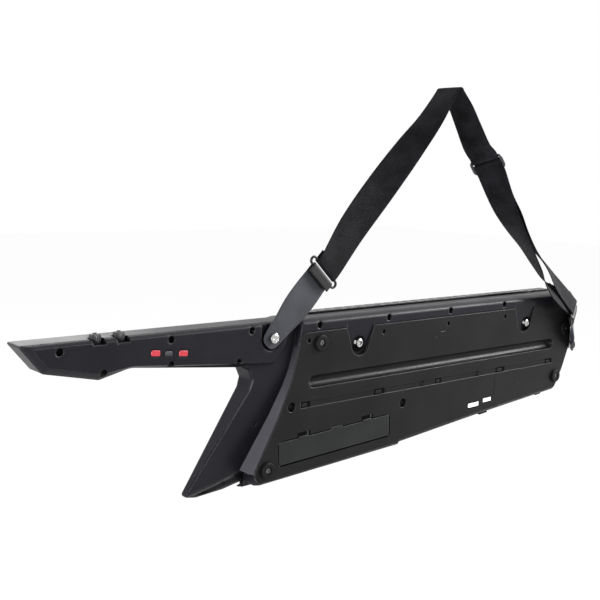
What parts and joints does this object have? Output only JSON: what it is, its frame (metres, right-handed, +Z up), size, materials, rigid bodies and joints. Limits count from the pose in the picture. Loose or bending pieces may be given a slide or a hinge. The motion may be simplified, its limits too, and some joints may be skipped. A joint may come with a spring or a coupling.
{
  "type": "keytar",
  "caption": "Strap-worn keyboard instrument with a control neck, raised rear body, battery bay, rubber feet, sprung keys, and a leather-tabbed webbing strap",
  "frame": {"origin": "fold at the top of the shoulder strap, where the instrument hangs", "axes": "+X along the keys from the neck to the right end, +Y from the rear cover to the keys, +Z up"},
  "size_m": [1.1767, 0.1071, 0.6303],
  "materials": {
    "shell": "fine satin texture",
    "cover": "fine matte texture",
    "rubber": "matte",
    "key_natural": "satin gloss",
    "key_sharp": "satin gloss",
    "black_plastic": "satin",
    "red_button": "satin",
    "control_grey": "satin",
    "bright_metal": "polished",
    "dark_metal": "satin black",
    "leather": "matte black leather",
    "webbing": "woven",
    "window": "clear dark",
    "board": "lacquered",
    "cell": "printed sleeve left bare"
  },
  "bodies": {
    "instrument": {"rear_shell": "shell", "front_shell": "shell", "rear_cover": "cover", "battery_case": "control_grey", "battery_cells_upper": "cell", "battery_cells_lower": "cell", "rear_foot_1": "rubber", "rear_foot_2": "rubber", "rear_foot_3": "rubber", "rear_foot_4": "rubber", "key_bed": "dark_metal", "main_board": "board", "ribbon_strip": "black_plastic", "beam_window": "window", "display_window": "window", "jack_panel": "black_plastic", "left_strap_pin": "bright_metal", "right_strap_pin": "bright_metal", "left_strap_tab": "leather", "right_strap_tab": "leather", "left_strap_ring": "dark_metal", "right_strap_ring": "dark_metal", "strap_webbing": "webbing", "strap_slider": "dark_metal"},
    "battery_cover": {"battery_cover": "cover"},
    "neck_button_upper": {"neck_button_upper": "red_button"},
    "neck_button_middle": {"neck_button_middle": "control_grey"},
    "neck_button_lower": {"neck_button_lower": "red_button"},
    "neck_knob_1": {"neck_knob_1": "control_grey"},
    "neck_knob_2": {"neck_knob_2": "control_grey"},
    "modulation_bar": {"modulation_bar": "control_grey"},
    "octave_down_button": {"octave_down_button": "control_grey"},
    "octave_up_button": {"octave_up_button": "control_grey"},
    "shift_button": {"shift_button": "control_grey"},
    "write_button": {"write_button": "control_grey"},
    "tone_button_strip": {"tone_button_strip": "control_grey"},
    "value_knob": {"value_knob": "black_plastic"},
    "power_switch": {"power_switch": "control_grey"},
    "naturals_outer_1": {"naturals_outer_1": "key_natural"},
    "naturals_inner_1": {"naturals_inner_1": "key_natural"},
    "sharps_1": {"sharps_1": "key_sharp"},
    "naturals_outer_2": {"naturals_outer_2": "key_natural"},
    "naturals_inner_2": {"naturals_inner_2": "key_natural"},
    "sharps_2": {"sharps_2": "key_sharp"},
    "naturals_outer_4": {"naturals_outer_4": "key_natural"},
    "naturals_inner_4": {"naturals_inner_4": "key_natural"},
    "sharps_4": {"sharps_4": "key_sharp"},
    "key_c": {"key_c": "key_natural"},
    "key_c_sharp": {"key_c_sharp": "key_sharp"},
    "key_d": {"key_d": "key_natural"},
    "key_d_sharp": {"key_d_sharp": "key_sharp"},
    "key_e": {"key_e": "key_natural"},
    "key_f": {"key_f": "key_natural"},
    "key_f_sharp": {"key_f_sharp": "key_sharp"},
    "key_g": {"key_g": "key_natural"},
    "key_g_sharp": {"key_g_sharp": "key_sharp"},
    "key_a": {"key_a": "key_natural"},
    "key_a_sharp": {"key_a_sharp": "key_sharp"},
    "key_b": {"key_b": "key_natural"},
    "key_top_c": {"key_top_c": "key_natural"}
  },
  "joints": [
    {"name": "battery_cover_hinge", "type": "hinge", "parent": "instrument", "child": "battery_cover", "pos_m": [-0.24206, -0.0117, -0.58714], "axis": [0.9991, 0, 0.042], "range_deg": [0, 85]},
    {"name": "neck_button_upper_press", "type": "slide", "parent": "instrument", "child": "neck_button_upper", "axis": [0, 1, 0], "range_m": [0, 0.0012], "stiffness_N_per_m": 600, "springref_m": -0.001},
    {"name": "neck_button_middle_press", "type": "slide", "parent": "instrument", "child": "neck_button_middle", "axis": [0, 1, 0], "range_m": [0, 0.0012], "stiffness_N_per_m": 600, "springref_m": -0.001},
    {"name": "neck_button_lower_press", "type": "slide", "parent": "instrument", "child": "neck_button_lower", "axis": [0, 1, 0], "range_m": [0, 0.0012], "stiffness_N_per_m": 600, "springref_m": -0.001},
    {"name": "neck_knob_1_turn", "type": "hinge", "parent": "instrument", "child": "neck_knob_1", "pos_m": [-0.66036, 0.008, -0.37049], "axis": [0, 0, 1], "range_deg": [-150, 150]},
    {"name": "neck_knob_2_turn", "type": "hinge", "parent": "instrument", "child": "neck_knob_2", "pos_m": [-0.62536, 0.008, -0.37049], "axis": [0, 0, 1], "range_deg": [-150, 150]},
    {"name": "modulation_bar_tilt", "type": "hinge", "parent": "instrument", "child": "modulation_bar", "pos_m": [-0.51279, 0.0355, -0.40169], "axis": [1, 0, 0], "range_deg": [-6, 0], "stiffness_Nm_per_rad": 0.5, "springref_deg": 5.73},
    {"name": "octave_down_button_press", "type": "slide", "parent": "instrument", "child": "octave_down_button", "axis": [0, -1, 0], "range_m": [0, 0.0012], "stiffness_N_per_m": 600, "springref_m": -0.001},
    {"name": "octave_up_button_press", "type": "slide", "parent": "instrument", "child": "octave_up_button", "axis": [0, -1, 0], "range_m": [0, 0.0012], "stiffness_N_per_m": 600, "springref_m": -0.001},
    {"name": "shift_button_press", "type": "slide", "parent": "instrument", "child": "shift_button", "axis": [0, -1, 0], "range_m": [0, 0.0012], "stiffness_N_per_m": 600, "springref_m": -0.001},
    {"name": "write_button_press", "type": "slide", "parent": "instrument", "child": "write_button", "axis": [0, -1, 0], "range_m": [0, 0.0012], "stiffness_N_per_m": 600, "springref_m": -0.001},
    {"name": "tone_button_strip_press", "type": "slide", "parent": "instrument", "child": "tone_button_strip", "axis": [0, -1, 0], "range_m": [0, 0.0012], "stiffness_N_per_m": 900, "springref_m": -0.001},
    {"name": "value_knob_turn", "type": "hinge", "parent": "instrument", "child": "value_knob", "pos_m": [0.06957, 0.05, -0.54449], "axis": [0, 1, 0], "continuous": true},
    {"name": "power_switch_slide", "type": "slide", "parent": "instrument", "child": "power_switch", "axis": [0.9966, 0, 0.0826], "range_m": [0, 0.004]},
    {"name": "naturals_outer_1_press", "type": "hinge", "parent": "instrument", "child": "naturals_outer_1", "pos_m": [-0.21516, 0.038, -0.53449], "axis": [1, 0, 0], "range_deg": [0, 3.4], "stiffness_Nm_per_rad": 3.2, "springref_deg": -6.88},
    {"name": "naturals_inner_1_press", "type": "hinge", "parent": "instrument", "child": "naturals_inner_1", "pos_m": [-0.21516, 0.038, -0.53449], "axis": [1, 0, 0], "range_deg": [0, 3.4], "stiffness_Nm_per_rad": 2.4, "springref_deg": -6.88},
    {"name": "sharps_1_press", "type": "hinge", "parent": "instrument", "child": "sharps_1", "pos_m": [-0.21516, 0.038, -0.53449], "axis": [1, 0, 0], "range_deg": [0, 4], "stiffness_Nm_per_rad": 4, "springref_deg": -6.88},
    {"name": "naturals_outer_2_press", "type": "hinge", "parent": "instrument", "child": "naturals_outer_2", "pos_m": [-0.05507, 0.038, -0.53449], "axis": [1, 0, 0], "range_deg": [0, 3.4], "stiffness_Nm_per_rad": 3.2, "springref_deg": -6.88},
    {"name": "naturals_inner_2_press", "type": "hinge", "parent": "instrument", "child": "naturals_inner_2", "pos_m": [-0.05507, 0.038, -0.53449], "axis": [1, 0, 0], "range_deg": [0, 3.4], "stiffness_Nm_per_rad": 2.4, "springref_deg": -6.88},
    {"name": "sharps_2_press", "type": "hinge", "parent": "instrument", "child": "sharps_2", "pos_m": [-0.05507, 0.038, -0.53449], "axis": [1, 0, 0], "range_deg": [0, 4], "stiffness_Nm_per_rad": 4, "springref_deg": -6.88},
    {"name": "naturals_outer_4_press", "type": "hinge", "parent": "instrument", "child": "naturals_outer_4", "pos_m": [0.26511, 0.038, -0.53449], "axis": [1, 0, 0], "range_deg": [0, 3.4], "stiffness_Nm_per_rad": 3.2, "springref_deg": -6.88},
    {"name": "naturals_inner_4_press", "type": "hinge", "parent": "instrument", "child": "naturals_inner_4", "pos_m": [0.26511, 0.038, -0.53449], "axis": [1, 0, 0], "range_deg": [0, 3.4], "stiffness_Nm_per_rad": 2.4, "springref_deg": -6.88},
    {"name": "sharps_4_press", "type": "hinge", "parent": "instrument", "child": "sharps_4", "pos_m": [0.26511, 0.038, -0.53449], "axis": [1, 0, 0], "range_deg": [0, 4], "stiffness_Nm_per_rad": 4, "springref_deg": -6.88},
    {"name": "key_c_press", "type": "hinge", "parent": "instrument", "child": "key_c", "pos_m": [0.03641, 0.038, -0.53449], "axis": [1, 0, 0], "range_deg": [0, 3.4], "stiffness_Nm_per_rad": 0.8, "springref_deg": -6.88},
    {"name": "key_c_sharp_press", "type": "hinge", "parent": "instrument", "child": "key_c_sharp", "pos_m": [0.04578, 0.038, -0.53449], "axis": [1, 0, 0], "range_deg": [0, 4], "stiffness_Nm_per_rad": 0.8, "springref_deg": -6.88},
    {"name": "key_d_press", "type": "hinge", "parent": "instrument", "child": "key_d", "pos_m": [0.05928, 0.038, -0.53449], "axis": [1, 0, 0], "range_deg": [0, 3.4], "stiffness_Nm_per_rad": 0.8, "springref_deg": -6.88},
    {"name": "key_d_sharp_press", "type": "hinge", "parent": "instrument", "child": "key_d_sharp", "pos_m": [0.07277, 0.038, -0.53449], "axis": [1, 0, 0], "range_deg": [0, 4], "stiffness_Nm_per_rad": 0.8, "springref_deg": -6.88},
    {"name": "key_e_press", "type": "hinge", "parent": "instrument", "child": "key_e", "pos_m": [0.08215, 0.038, -0.53449], "axis": [1, 0, 0], "range_deg": [0, 3.4], "stiffness_Nm_per_rad": 0.8, "springref_deg": -6.88},
    {"name": "key_f_press", "type": "hinge", "parent": "instrument", "child": "key_f", "pos_m": [0.10502, 0.038, -0.53449], "axis": [1, 0, 0], "range_deg": [0, 3.4], "stiffness_Nm_per_rad": 0.8, "springref_deg": -6.88},
    {"name": "key_f_sharp_press", "type": "hinge", "parent": "instrument", "child": "key_f_sharp", "pos_m": [0.11348, 0.038, -0.53449], "axis": [1, 0, 0], "range_deg": [0, 4], "stiffness_Nm_per_rad": 0.8, "springref_deg": -6.88},
    {"name": "key_g_press", "type": "hinge", "parent": "instrument", "child": "key_g", "pos_m": [0.12789, 0.038, -0.53449], "axis": [1, 0, 0], "range_deg": [0, 3.4], "stiffness_Nm_per_rad": 0.8, "springref_deg": -6.88},
    {"name": "key_g_sharp_press", "type": "hinge", "parent": "instrument", "child": "key_g_sharp", "pos_m": [0.13932, 0.038, -0.53449], "axis": [1, 0, 0], "range_deg": [0, 4], "stiffness_Nm_per_rad": 0.8, "springref_deg": -6.88},
    {"name": "key_a_press", "type": "hinge", "parent": "instrument", "child": "key_a", "pos_m": [0.15076, 0.038, -0.53449], "axis": [1, 0, 0], "range_deg": [0, 3.4], "stiffness_Nm_per_rad": 0.8, "springref_deg": -6.88},
    {"name": "key_a_sharp_press", "type": "hinge", "parent": "instrument", "child": "key_a_sharp", "pos_m": [0.16517, 0.038, -0.53449], "axis": [1, 0, 0], "range_deg": [0, 4], "stiffness_Nm_per_rad": 0.8, "springref_deg": -6.88},
    {"name": "key_b_press", "type": "hinge", "parent": "instrument", "child": "key_b", "pos_m": [0.17363, 0.038, -0.53449], "axis": [1, 0, 0], "range_deg": [0, 3.4], "stiffness_Nm_per_rad": 0.8, "springref_deg": -6.88},
    {"name": "key_top_c_press", "type": "hinge", "parent": "instrument", "child": "key_top_c", "pos_m": [0.35659, 0.038, -0.53449], "axis": [1, 0, 0], "range_deg": [0, 3.4], "stiffness_Nm_per_rad": 0.8, "springref_deg": -6.88}
  ]
}
